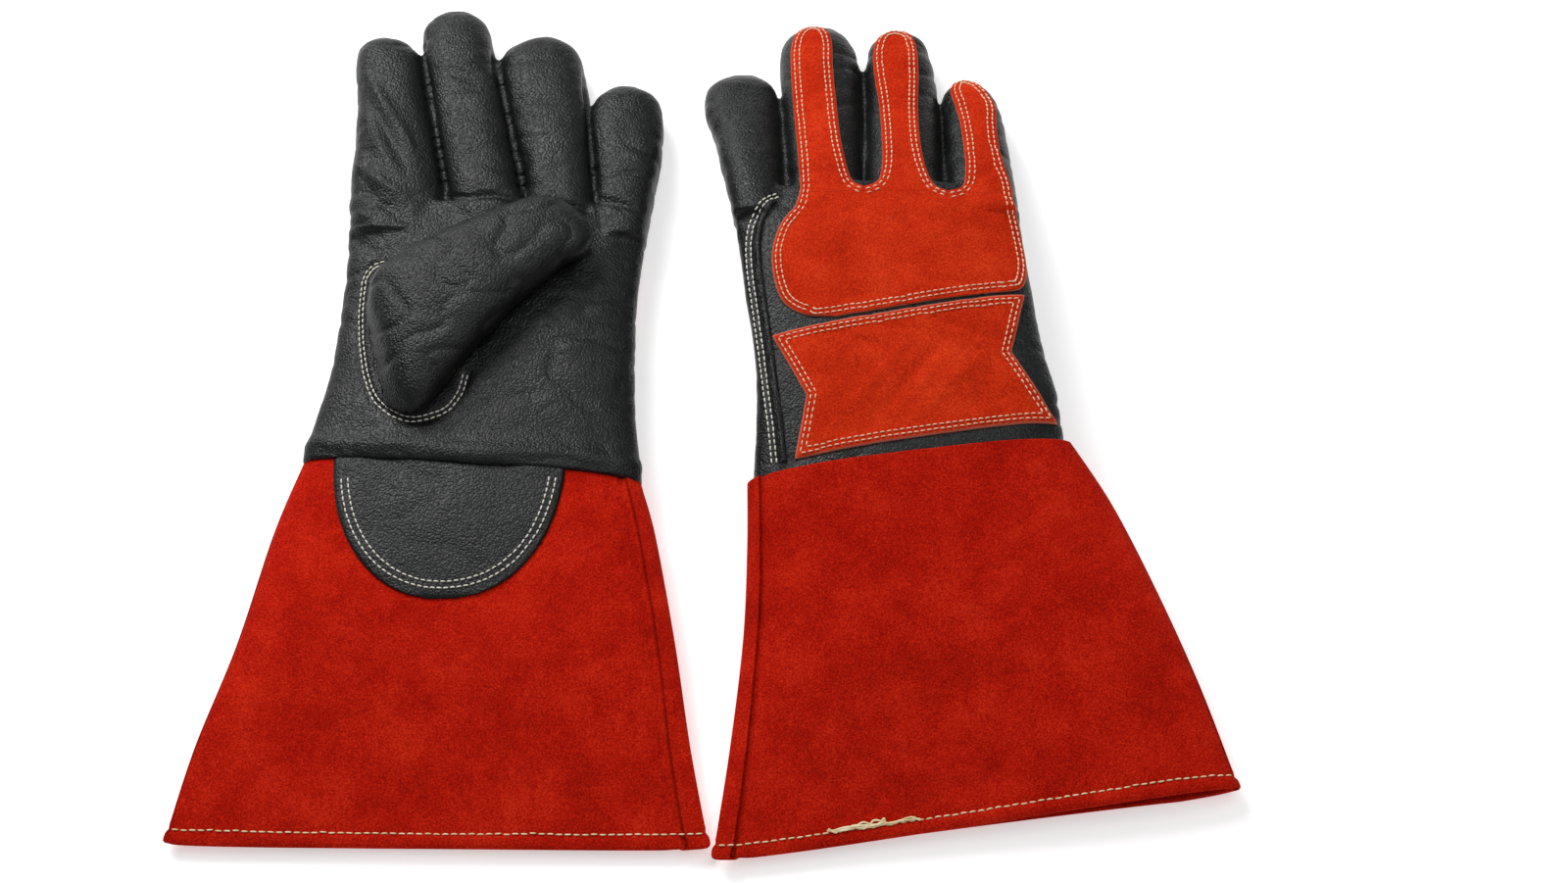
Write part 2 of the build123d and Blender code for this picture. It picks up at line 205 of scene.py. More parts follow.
# Left and right edges of the strips on the backs of the right glove's fingers.  Two
# neighbours share one border below the web between the fingers.
KNUCKLE_TOP = 89.0
STRIPS = {
    "middle": (
        [(39.6, 89), (40.2, 98), (38.4, 128), (36.6, 160), (36.6, 176), (39, 185.5),
         (43.5, 190.5)],
        [(67.6, 89), (67.6, 92), (63.4, 95), (60.8, 102), (58.2, 118), (56.4, 140),
         (55, 163), (54.6, 179), (52.4, 187), (48.5, 190.5)],
    ),
    "ring": (
        [(67.6, 89), (67.6, 92), (72.2, 94), (75.2, 99), (76.4, 112), (75.8, 139),
         (73.9, 163), (74.2, 177), (76.8, 185), (81, 188.6)],
        [(104.2, 89), (104.2, 90.3), (98.4, 94), (95, 103), (92.9, 118), (92.5, 139),
         (93.3, 157), (93, 176), (90.5, 185), (86, 188.6)],
    ),
    "little": (
        [(104.2, 89), (104.2, 90.3), (109.2, 92.2), (111.8, 97), (112.6, 108), (111.8, 128),
         (110.2, 142), (108.4, 153), (109.6, 159), (112, 161.5)],
        [(132.4, 89), (131.6, 96), (128.6, 111), (127.2, 128), (127.2, 143), (124.5, 152),
         (120.5, 158.5), (115.5, 162)],
    ),
}
# Side edges of the knuckle patch and of the bow-shaped wrist patch, on the right glove.
KNUCKLE_LEFT = [(55, 27), (42, 28.5), (33, 35), (29, 46), (28, 60), (31.5, 73), (37.5, 82), (39.6, 89)]
KNUCKLE_RIGHT = [
    (120, 39), (128, 40.5), (134.5, 43.5), (136.8, 52), (136.3, 63), (134.6, 75), (133.4, 83),
    (132.4, 89),
]
BOW_LEFT = [(37.5, -37), (42.5, -9), (28, 20)]
BOW_RIGHT = [(147.5, -19), (129, 11.5), (135.5, 40)]
# A seam on the back of the right glove, then seams and a fold on the palm of the left glove.
INDEX_SEAM = [
    (30, 91), (23.5, 86), (18.5, 77), (16.8, 66), (17.5, 52), (19.5, 36), (22, 17), (24.5, -5),
    (26.5, -22), (28, -38),
]
THUMB_SEAM = [
    (-141, 66), (-147, 64), (-150.5, 57), (-151, 43), (-150, 28), (-147, 11), (-142, -2),
    (-134, -10), (-126, -13), (-117, -12), (-109, -8), (-104, 0), (-102, 9),
]
BASE_SEAM = [(-115, 99), (-106, 96.5), (-94, 97.5), (-78.5, 96), (-65, 93), (-54, 92)]
WRIST_FOLD = [(-171, -20), (-100, -27), (-29, -30)]
# The half-oval heel patch on the left glove; HEEL_POWER 2 would make it an ellipse.
HEEL_CENTRE = (-108.0, -31.0)
HEEL_HALF_WIDE = 49.0
HEEL_DEEP = 62.0
HEEL_POWER = 2.15

# Folds as plan lines (x0, y0, x1, y1, height, width).
PALM_FOLDS = [
    (-158, 168, -131, 120, 1.0, 2.4),
    (-158, 158, -134, 112, -0.9, 2.0),
    (-158, 145, -136, 104, 0.8, 2.2),
    (-160, 118, -128, 92, 1.0, 2.6),
    (-160, 108, -132, 84, -1.0, 2.2),
    (-160, 96, -140, 78, 0.9, 2.4),
    (-160, 84, -146, 70, -0.8, 2.0),
    (-52, 98, -30, 92, -1.4, 1.8),
    (-50, 106, -28, 112, -0.8, 1.8),
    (-64, 62, -38, 74, 0.8, 3.0),
    (-58, 44, -36, 50, -0.7, 2.6),
    (-70, 20, -36, 30, 0.7, 3.2),
    (-96, -4, -60, 2, -0.6, 3.0),
    (-126, 165, -98, 160, -0.6, 1.8),
    (-120, 140, -92, 136, -0.5, 1.8),
    (-92, 150, -60, 146, -0.6, 1.8),
]
BOW_FOLDS = [
    (52, -26, 84, 14, 0.9, 3.2),
    (66, -27, 104, 20, -0.9, 3.0),
    (88, -20, 116, 10, 0.8, 3.4),
    (112, -16, 122, 8, -0.6, 3.0),
    (44, 14, 60, -4, -0.5, 3.0),
]


# ------------------------------------------------------------------ shapes


def carried(point, to_right=True):
    """A plan point of one glove at the same place on the other glove."""
    here, there = (LEFT_WRIST, RIGHT_WRIST) if to_right else (RIGHT_WRIST, LEFT_WRIST)
    turn = math.radians(HAND_TURN if to_right else -HAND_TURN)
    x = point[0] - here[0]
    y = point[1] - here[1]
    return (
        there[0] + x * math.cos(turn) - y * math.sin(turn),
        there[1] + x * math.sin(turn) + y * math.cos(turn),
    )


def shifted(path, by):
    """A plan path moved to the right."""
    return [(x + by, y) for x, y in path]


def smooth_rows(rows, shares):
    """Values along a smooth curve through rows, at shares from 0 to 1."""
    rows = np.asarray(rows, float)
    at = np.clip(np.asarray(shares, float), 0, 1) * (len(rows) - 1)
    k = np.minimum(at.astype(int), len(rows) - 2)
    t = (at - k)[:, None]
    before = rows[np.maximum(k - 1, 0)]
    first = rows[k]
    second = rows[k + 1]
    after = rows[np.minimum(k + 2, len(rows) - 1)]
    m1 = (second - before) / 2
    m2 = (after - first) / 2
    return (
        (2 * t**3 - 3 * t**2 + 1) * first
        + (t**3 - 2 * t**2 + t) * m1
        + (3 * t**2 - 2 * t**3) * second
        + (t**3 - t**2) * m2
    )


def tube_points(stations, shares, angles, grow=0.0, roundness=2.5, flat=1.22):
    """Points on a flattened tube, as an array (share, angle, xyz) in millimetres."""
    s = smooth_rows(stations, shares)
    left = s[:, 0:2]
    right = s[:, 2:4]
    span = np.linalg.norm(right - left, axis=1)
    across = (right - left) / span[:, None]
    c = np.cos(angles)
    h = np.sin(angles)
    side = np.sign(c) * np.abs(c) ** (2 / roundness)
    rise = np.sign(h) * np.abs(h) ** (2 / roundness)
    rise = np.where(rise < 0, np.maximum(rise * flat, -1), rise)
    wide = (span / 2 + grow)[:, None] * side
    tall = ((s[:, 5] - s[:, 4]) / 2 + grow)[:, None] * rise
    plan = ((left + right) / 2)[:, None, :] + across[:, None, :] * wide[:, :, None]
    height = ((s[:, 4] + s[:, 5]) / 2)[:, None] + tall
    return np.concatenate([plan, height[:, :, None]], axis=2)


def grid_faces(rows, columns, closed=False):
    """Faces over a grid of points; closed joins the last column to the first."""
    faces = []
    for r in range(rows - 1):
        for c in range(columns if closed else columns - 1):
            a = r * columns + c
            b = r * columns + (c + 1) % columns
            faces.append((a, b, b + columns, a + columns))
    return faces


def closed_tube(stations, rows=60, columns=72, grow=0.0):
    """Vertices and faces of a tube closed at both ends."""
    angles = np.linspace(0, 2 * np.pi, columns, endpoint=False)
    shares = np.linspace(0, 1, rows)
    points = tube_points(stations, shares, angles, grow).reshape(-1, 3)
    faces = grid_faces(rows, columns, closed=True)
    ends = [points[:columns].mean(0), points[-columns:].mean(0)]
    a = len(points)
    points = np.vstack([points, ends])
    for c in range(columns):
        d = (c + 1) % columns
        faces.append((a, d, c))
        faces.append((a + 1, (rows - 1) * columns + c, (rows - 1) * columns + d))
    return points, faces


def joined(parts):
    """Several shapes, each given as (points, faces), as one."""
    points = []
    faces = []
    for p, f in parts:
        offset = sum(len(x) for x in points)
        points.append(np.asarray(p, float))
        faces.extend([tuple(v + offset for v in face) for face in f])
    return np.vstack(points), faces


def make_piece(name, points, faces, material, slot=None):
    """A mesh object from millimetre points."""
    mesh = bpy.data.meshes.new(name)
    mesh.from_pydata((np.asarray(points) * MM).tolist(), [], faces)
    mesh.update()
    mesh.polygons.foreach_set("use_smooth", [True] * len(mesh.polygons))
    piece = bpy.data.objects.new(name, mesh)
    bpy.context.scene.collection.objects.link(piece)
    mesh.materials.append(material)
    return piece


def read_vectors(mesh, name):
    """The "co" or "normal" of every vertex."""
    values = np.empty(len(mesh.vertices) * 3)
    mesh.vertices.foreach_get(name, values)
    return values.reshape(-1, 3)


def read_points(mesh):
    """A mesh's points in millimetres."""
    return read_vectors(mesh, "co") / MM


def write_points(mesh, points):
    mesh.vertices.foreach_set("co", (points * MM).ravel())
    mesh.update()


def faces_of(mesh):
    return [tuple(polygon.vertices) for polygon in mesh.polygons]


def remeshed(points, faces, voxel):
    """One skin round overlapping closed shapes, smoothed where they meet."""
    piece = make_piece("skin", points, faces, leather)
    remesh = piece.modifiers.new("skin", "REMESH")
    remesh.mode = "VOXEL"
    remesh.voxel_size = voxel * MM
    depsgraph = bpy.context.evaluated_depsgraph_get()
    mesh = bpy.data.meshes.new_from_object(piece.evaluated_get(depsgraph))
    bpy.data.objects.remove(piece)
    relax(mesh, SMOOTH_ROUNDS)
    return mesh


def relax(mesh, rounds):
    """Moves each vertex half way to the mean of its neighbours, several times."""
    edges = np.empty(len(mesh.edges) * 2, int)
    mesh.edges.foreach_get("vertices", edges)
    edges = edges.reshape(-1, 2)
    points = read_points(mesh)
    count = np.bincount(edges.ravel(), minlength=len(points))[:, None]
    for _ in range(rounds):
        total = np.zeros_like(points)
        np.add.at(total, edges[:, 0], points[edges[:, 1]])
        np.add.at(total, edges[:, 1], points[edges[:, 0]])
        points = points + 0.5 * (total / np.maximum(count, 1) - points)
    write_points(mesh, points)


def push_out(mesh, push):
    """Moves a skin along its normals, keeps it above the table and relaxes it once."""
    points = read_points(mesh) + read_vectors(mesh, "normal") * push[:, None]
    points[:, 2] = np.maximum(points[:, 2], SKIN_LOWEST)
    write_points(mesh, points)
    relax(mesh, 1)


def lumps(points, size, seed):
    """Smooth noise from -1 to 1, with bumps of one size in millimetres."""
    shift = Vector((seed * 17.3, seed * 5.1, seed * 9.7))
    scaled = np.asarray(points) / np.asarray(size)
    return np.array([noise.noise(Vector(p) + shift) for p in scaled])


def creases(points, size, seed, sharp=3.0):
    """Thin folds from 0 to 1 where smooth noise crosses zero."""
    return (1 - np.minimum(1, np.abs(lumps(points, size, seed)) * 2.2)) ** sharp


def beside_line(points, a, b):
    """Each point's share of the way along a plan line, and its distance from the line."""
    way = np.subtract(b, a)
    gap = points[:, :2] - a
    share = np.clip(gap @ way / (way @ way), 0, 1)
    return share, np.linalg.norm(gap - share[:, None] * way, axis=1)


def along_lines(points, lines):
    """Raised or sunk folds along plan lines (x0, y0, x1, y1, height, width)."""
    total = np.zeros(len(points))
    for x0, y0, x1, y1, height, width in lines:
        share, away = beside_line(points, (x0, y0), (x1, y1))
        fade = np.sin(np.pi * np.clip(share, 0.02, 0.98)) ** 0.5
        total += height * np.exp(-((away / width) ** 2)) * fade
    return total


def near_path(points, path, width):
    """1 on a plan path, falling to 0 beside it."""
    best = np.full(len(points), np.inf)
    for a, b in zip(path, path[1:]):
        best = np.minimum(best, beside_line(points, a, b)[1])
    return np.exp(-((best / width) ** 2))


class Surface:
    """A finished skin that patches and stitches are laid on."""

    def __init__(self, *meshes):
        points, faces = joined([(read_points(mesh), faces_of(mesh)) for mesh in meshes])
        self.tree = BVHTree.FromPolygons([Vector(p) for p in points], faces)

    def at(self, x, y, upper, lift=0.0):
        """The skin's upper or lower point at a plan place, lifted off it, and the normal."""
        start = Vector((x, y, 200 if upper else -100))
        found, normal, _, _ = self.tree.ray_cast(start, Vector((0, 0, -1 if upper else 1)))
        if found is None:
            found, normal, _, _ = self.tree.find_nearest(Vector((x, y, 20)))
        if (normal.z > 0) != upper:
            normal = -normal
        return np.array(found + normal * lift), np.array(normal)


def laid_sheet(name, surface, grid, upper, look, thick=PATCH, rims=(1, 1, 1, 1), folds=()):
    """A sheet over a grid of plan points (row, column, xy), with rounded cut edges.

    look is its material and slot.  rims says where the first row, last row, first column
    and last column are cut edges; a column's entry may have one value for each row.
    """
    rows, columns = grid.shape[:2]
    top = np.zeros((rows, columns, 3))
    normals = np.zeros((rows, columns, 3))
    for r in range(rows):
        for c in range(columns):
            top[r, c], normals[r, c] = surface.at(*grid[r, c], upper)
    edge = np.ones((rows, columns))
    for k, share in ((0, 0.62), (1, 0.92)):
        lines = (edge[k], edge[-1 - k], edge[:, k], edge[:, -1 - k])
        for line, rim in zip(lines, rims):
            line[:] = np.minimum(line, 1 - np.asarray(rim) * (1 - share))
    flat = top.reshape(-1, 3)
    wave = (0.3 * lumps(flat, 13, 3) + along_lines(flat, folds)).reshape(rows, columns)
    over = top + normals * (thick * edge + wave * (edge > 0.95))[:, :, None]
    under = top - normals * 0.5
    points = np.vstack([over.reshape(-1, 3), under.reshape(-1, 3)])
    points[:, 2] = np.maximum(points[:, 2], 0.0)
    n = rows * columns
    faces = grid_faces(rows, columns)
    faces += [tuple(v + n for v in reversed(f)) for f in faces]
    ring = [r * columns for r in range(rows)]
    ring += [(rows - 1) * columns + c for c in range(1, columns)]
    ring += [r * columns + columns - 1 for r in range(rows - 2, -1, -1)]
    ring += [c for c in range(columns - 2, 0, -1)]
    for a, b in zip(ring, ring[1:] + ring[:1]):
        faces.append((a, b, b + n, a + n))
    piece = make_piece(name, points, faces, *look)
    cut_edge = np.append(edge.ravel() < 0.9, np.ones(n)).astype(np.float32)
    attribute = piece.data.attributes.new("cut_edge", "FLOAT", "POINT")
    attribute.data.foreach_set("value", cut_edge)
    return piece


def between_curves(left, right, rows, columns, straight=False):
    """A plan grid ruled between two curves, or between two rows of straight edges."""
    shares = np.linspace(0, 1, rows)
    a = corner_rows(left, shares) if straight else smooth_rows(left, shares)
    b = corner_rows(right, shares) if straight else smooth_rows(right, shares)
    t = np.linspace(0, 1, columns)[None, :, None]
    return a[:, None, :] * (1 - t) + b[:, None, :] * t


def corner_rows(rows, shares):
    """Values along straight pieces between rows, at shares from 0 to 1."""
    rows = np.asarray(rows, float)
    at = np.linspace(0, 1, len(rows))
    return np.stack([np.interp(shares, at, column) for column in rows.T], axis=1)


def between_heights(left, right, rows, columns):
    """A plan grid between two edges, whose rows each join points at the same height."""
    low = max(left[0][1], right[0][1])
    a = smooth_rows(left, np.linspace(0, 1, 400))
    b = smooth_rows(right, np.linspace(0, 1, 400))
    a[:, 1] = np.maximum.accumulate(a[:, 1])
    b[:, 1] = np.maximum.accumulate(b[:, 1])
    high = min(a[-1, 1], b[-1, 1])
    t = np.linspace(0, 1, rows)
    # Rows stand closer together at both ends.
    eased = t**2 * (3 - 2 * t)
    y = low + (high - low) * (0.35 * eased + 0.65 * t)
    xa = np.interp(y, a[:, 1], a[:, 0])
    xb = np.interp(y, b[:, 1], b[:, 0])
    u = np.linspace(0, 1, columns)[None, :]
    x = xa[:, None] * (1 - u) + xb[:, None] * u
    return np.stack([x, np.repeat(y[:, None], columns, axis=1)], axis=2)


def resampled(path, pitch):
    """Even points along a smooth plan curve, with their directions."""
    dense = smooth_rows(path, np.linspace(0, 1, 30 * len(path)))
    steps = np.linalg.norm(np.diff(dense, axis=0), axis=1)
    length = np.concatenate([[0], np.cumsum(steps)])
    count = max(2, int(length[-1] / pitch))
    middles = (np.arange(count) + 0.5) / count * length[-1]

    def spots(at):
        return np.stack([np.interp(at, length, column) for column in dense.T], axis=1)

    along = spots(np.minimum(middles + 0.5, length[-1])) - spots(np.maximum(middles - 0.5, 0))
    along /= np.linalg.norm(along, axis=1)[:, None]
    return spots(middles), along


def thread_rows(name, surface, rows, upper, material, pitch=SEAM_PITCH, lift=0.0, wobble=0.12):
    """Raised stitches along plan paths, each given as (path, sideways offset)."""
    ring = np.linspace(0, 2 * np.pi, STITCH_SIDES, endpoint=False)
    stitch = grid_faces(len(STITCH_PROFILE), STITCH_SIDES, closed=True)
    stitch.append(tuple(reversed(range(STITCH_SIDES))))
    stitch.append(tuple((len(STITCH_PROFILE) - 1) * STITCH_SIDES + c for c in range(STITCH_SIDES)))
    points = []
    faces = []
    step = 0
    for path, aside in rows:
        for (x, y), along in zip(*resampled(path, pitch)):
            step += 1
            sway = wobble * noise.noise(Vector((step * 0.7, aside, 3)))
            x = x - along[1] * (aside + sway)
            y = y + along[0] * (aside + sway)
            at, normal = surface.at(x, y, upper, lift)
            forward = np.array([along[0], along[1], 0.0])
            forward -= normal * (forward @ normal)
            forward /= np.linalg.norm(forward)
            aside_way = np.cross(normal, forward)
            turn = 0.12 * noise.noise(Vector((step * 1.3, 7, aside)))
            forward, aside_way = forward + turn * aside_way, aside_way - turn * forward
            faces += [tuple(v + len(points) for v in face) for face in stitch]
            for t, fat in STITCH_PROFILE:
                dip = 0.5 * THREAD_TALL * (1 - 3.2 * t * t)
                middle = at + forward * (t * STITCH_SHARE * pitch) + normal * dip
                for angle in ring:
                    point = (
                        middle
                        + aside_way * (0.5 * THREAD_WIDE * fat * math.cos(angle))
                        + normal * (0.5 * THREAD_TALL * fat * math.sin(angle))
                    )
                    point[2] = max(point[2], 0.0)
                    points.append(point)
    return make_piece(name, points, faces, material, "pale_thread")


# --------------------------------------------------------------- materials


def new_material(name):
    """A new material, with its nodes, its links and its main shader."""
    material = bpy.data.materials.new(name)
    material.use_nodes = True
    nodes = material.node_tree.nodes
    return material, nodes, material.node_tree.links, nodes["Principled BSDF"]


def set_inputs(node, values):
    """Sets constant values straight on a node's input sockets."""
    for name, value in values.items():
        node.inputs[name].default_value = value


def add_noise(nodes, links, coords, scale, detail=4.0, rough=0.55):
    """A noise texture."""
    node = nodes.new("ShaderNodeTexNoise")
    set_inputs(node, {"Scale": scale, "Detail": detail, "Roughness": rough})
    links.new(coords, node.inputs["Vector"])
    return node


def add_ramp(nodes, links, value, stops):
    """A colour ramp with stops (place, colour)."""
    node = nodes.new("ShaderNodeValToRGB")
    ramp = node.color_ramp
    while len(ramp.elements) < len(stops):
        ramp.elements.new(0.5)
    for element, (at, colour) in zip(ramp.elements, stops):
        element.position = at
        element.color = (*colour, 1)
    links.new(value, node.inputs["Fac"])
    return node


def add_bump(nodes, links, height, distance, strength, before=None):
    """A bump on top of the bump before it."""
    node = nodes.new("ShaderNodeBump")
    set_inputs(node, {"Distance": distance, "Strength": strength})
    links.new(height, node.inputs["Height"])
    if before:
        links.new(before.outputs["Normal"], node.inputs["Normal"])
    return node


def grain_leather(name):
    """Black pebbled grain leather: small cells, fine pores, uneven gloss."""
    material, nodes, links, shader = new_material(name)
    coords = nodes.new("ShaderNodeTexCoord").outputs["Object"]
    warp = add_noise(nodes, links, coords, 420, 2)
    mix = nodes.new("ShaderNodeMix")
    mix.data_type = "VECTOR"
    mix.inputs["Factor"].default_value = 0.0012
    links.new(coords, mix.inputs["A"])
    links.new(warp.outputs["Color"], mix.inputs["B"])
    cells = nodes.new("ShaderNodeTexVoronoi")
    cells.feature = "SMOOTH_F1"
    set_inputs(cells, {"Scale": 1050, "Smoothness": 0.35})
    links.new(mix.outputs["Result"], cells.inputs["Vector"])
    pores = add_noise(nodes, links, coords, 2600, 3)
    folds = add_noise(nodes, links, coords, 160, 5, 0.62)
    tone = add_noise(nodes, links, coords, 38, 5)
    dark, middle, pale = (0.003, 0.0036, 0.0035), (0.0048, 0.0058, 0.0056), (0.008, 0.0095, 0.0092)
    colour = add_ramp(nodes, links, tone.outputs["Fac"], [(0.3, dark), (0.62, middle), (0.8, pale)])
    links.new(colour.outputs["Color"], shader.inputs["Base Color"])
    gloss = add_ramp(nodes, links, tone.outputs["Fac"], [(0.3, [0.46] * 3), (0.7, [0.33] * 3)])
    links.new(gloss.outputs["Color"], shader.inputs["Roughness"])
    shader.inputs["Specular IOR Level"].default_value = 0.3
    one = add_bump(nodes, links, folds.outputs["Fac"], 0.0006, 0.45)
    two = add_bump(nodes, links, pores.outputs["Fac"], 0.0001, 0.4, one)
    three = add_bump(nodes, links, cells.outputs["Distance"], 0.0005, 0.6, two)
    three.invert = True
    links.new(three.outputs["Normal"], shader.inputs["Normal"])
    return material


def suede_leather(name, dark, middle, light, edge=None):
    """Split leather: fine nap, mottled colour; a pale cut edge where asked."""
    material, nodes, links, shader = new_material(name)
    coords = nodes.new("ShaderNodeTexCoord").outputs["Object"]
    patches = add_noise(nodes, links, coords, 46, 7, 0.66)
    nap = add_noise(nodes, links, coords, 1300, 4, 0.8)
    fibre = add_noise(nodes, links, coords, 2600, 3, 0.6)
    blend = nodes.new("ShaderNodeMix")
    blend.inputs["Factor"].default_value = 0.72
    links.new(patches.outputs["Fac"], blend.inputs["A"])
    links.new(nap.outputs["Fac"], blend.inputs["B"])
    colour = add_ramp(
        nodes, links, blend.outputs["Result"], [(0.38, dark), (0.5, middle), (0.62, light)]
    )
    result = colour.outputs["Color"]
    if edge:
        cut = nodes.new("ShaderNodeAttribute")
        cut.attribute_name = "cut_edge"
        over = nodes.new("ShaderNodeMix")
        over.data_type = "RGBA"
        over.inputs["B"].default_value = (*edge, 1)
        links.new(cut.outputs["Fac"], over.inputs["Factor"])
        links.new(result, over.inputs["A"])
        result = over.outputs["Result"]
    links.new(result, shader.inputs["Base Color"])
    set_inputs(shader, {
        "Roughness": 0.95,
        "Specular IOR Level": 0.06,
        "Sheen Weight": 0.1,
        "Sheen Roughness": 0.5,
        "Sheen Tint": (*light, 1),
    })
    one = add_bump(nodes, links, patches.outputs["Fac"], 0.0011, 0.35)
    two = add_bump(nodes, links, nap.outputs["Fac"], 0.0007, 0.6, one)
    three = add_bump(nodes, links, fibre.outputs["Fac"], 0.0002, 0.4, two)
    links.new(three.outputs["Normal"], shader.inputs["Normal"])
    return material


def thread_material(name, dark, light):
    """Waxed twisted thread: fine slanted twist and a slight colour change."""
    material, nodes, links, shader = new_material(name)
    coords = nodes.new("ShaderNodeTexCoord").outputs["Object"]
    twist = nodes.new("ShaderNodeTexWave")
    twist.bands_direction = "DIAGONAL"
    twist.inputs["Scale"].default_value = 700
    links.new(coords, twist.inputs["Vector"])
    tone = add_noise(nodes, links, coords, 300, 3)
    colour = add_ramp(nodes, links, tone.outputs["Fac"], [(0.35, dark), (0.65, light)])
    links.new(colour.outputs["Color"], shader.inputs["Base Color"])
    shader.inputs["Roughness"].default_value = 0.6
    bump = add_bump(nodes, links, twist.outputs["Fac"], 0.00015, 0.5)
    links.new(bump.outputs["Normal"], shader.inputs["Normal"])
    return material


def cotton(name):
    """Grey twill lining."""
    material, nodes, links, shader = new_material(name)
    coords = nodes.new("ShaderNodeTexCoord").outputs["Object"]
    weave = nodes.new("ShaderNodeTexWave")
    weave.bands_direction = "DIAGONAL"
    set_inputs(weave, {"Scale": 420, "Distortion": 1.5})
    links.new(coords, weave.inputs["Vector"])
    colour = add_ramp(
        nodes, links, weave.outputs["Fac"], [(0.3, (0.05, 0.048, 0.046)), (0.7, (0.11, 0.105, 0.1))]
    )
    links.new(colour.outputs["Color"], shader.inputs["Base Color"])
    shader.inputs["Roughness"].default_value = 0.95
    bump = add_bump(nodes, links, weave.outputs["Fac"], 0.0002, 0.5)
    links.new(bump.outputs["Normal"], shader.inputs["Normal"])
    return material


leather = grain_leather("black_grain_leather")
cuff_suede = suede_leather(
    "deep_red_suede", (0.24, 0.0036, 0.001), (0.5, 0.0085, 0.0018), (0.76, 0.034, 0.009)
)
patch_suede = suede_leather(
    "orange_red_suede", (0.34, 0.0105, 0.0015), (0.58, 0.025, 0.004), (0.8, 0.062, 0.012),
    edge=(0.62, 0.2, 0.13),
)
LEATHER_LOOK = (leather, "black_grain_leather")  # a material and its slot
PATCH_LOOK = (patch_suede, "orange_red_suede")
white_thread = thread_material("cream_thread", (0.8, 0.77, 0.64), (0.93, 0.91, 0.82))
hem_thread = thread_material("yellow_cream_thread", (0.78, 0.6, 0.3), (0.93, 0.82, 0.55))
patch_thread = thread_material("orange_cream_thread", (0.78, 0.45, 0.26), (0.93, 0.68, 0.48))
lining = cotton("cotton_lining")


# ------------------------------------------------------------------- joints

joint_at = {j["name"]: j for j in frame["joints"]}


def bend_at(piece):
    """Bakes a piece's placement into its mesh; it does not bend the piece."""
    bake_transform(piece)


def bend_wrist(piece):
    bend_at(piece)


def bend_finger(piece):
    bend_at(piece)


def bend_thumb(piece):
    bend_at(piece)


# ------------------------------------------------------------------- gloves


def owners(mesh, glove, fingers):
    """For each face of a hand's skin, 0 for the hand or 1 to 4 for the nearest finger."""
    points = read_points(mesh)
    centres = np.array([points[list(face)].mean(0) for face in faces_of(mesh)])
    owner = np.zeros(len(centres), int)
    nearest = np.full(len(centres), np.inf)
    for k, (finger, stations) in enumerate(fingers.items(), 1):
        joint = joint_at[f"{glove}_{finger}_curl"]
        axis = np.array(joint["axis"][:2]) * AHEAD_SIGN[glove]
        forward = np.array([-axis[1], axis[0]])
        ahead = (centres[:, :2] - np.array(joint["pos_m"][:2]) / MM) @ forward
        table = np.asarray(stations, float)
        left = np.interp(centres[:, 1], table[:, 1], table[:, 0])
        right = np.interp(centres[:, 1], table[:, 1], table[:, 2])
        outside = np.maximum(left - centres[:, 0], centres[:, 0] - right)
        closer = outside < nearest
        nearest[closer] = outside[closer]
        owner[closer] = np.where(ahead[closer] > FINGER_BEND[0], k, 0)
    return owner


def cut_out(name, mesh, chosen):
    """Chosen faces of a skin as one piece, shaded as if the skin were whole."""
    polygons = [face for face, wanted in zip(faces_of(mesh), chosen) if wanted]
    used = sorted({v for polygon in polygons for v in polygon})
    place = {v: i for i, v in enumerate(used)}
    faces = [tuple(place[v] for v in polygon) for polygon in polygons]
    piece = make_piece(name, read_points(mesh)[used], faces, *LEATHER_LOOK)
    normals = read_vectors(mesh, "normal")[used]
    piece.data.normals_split_custom_set_from_vertices([tuple(n) for n in normals])
    return piece


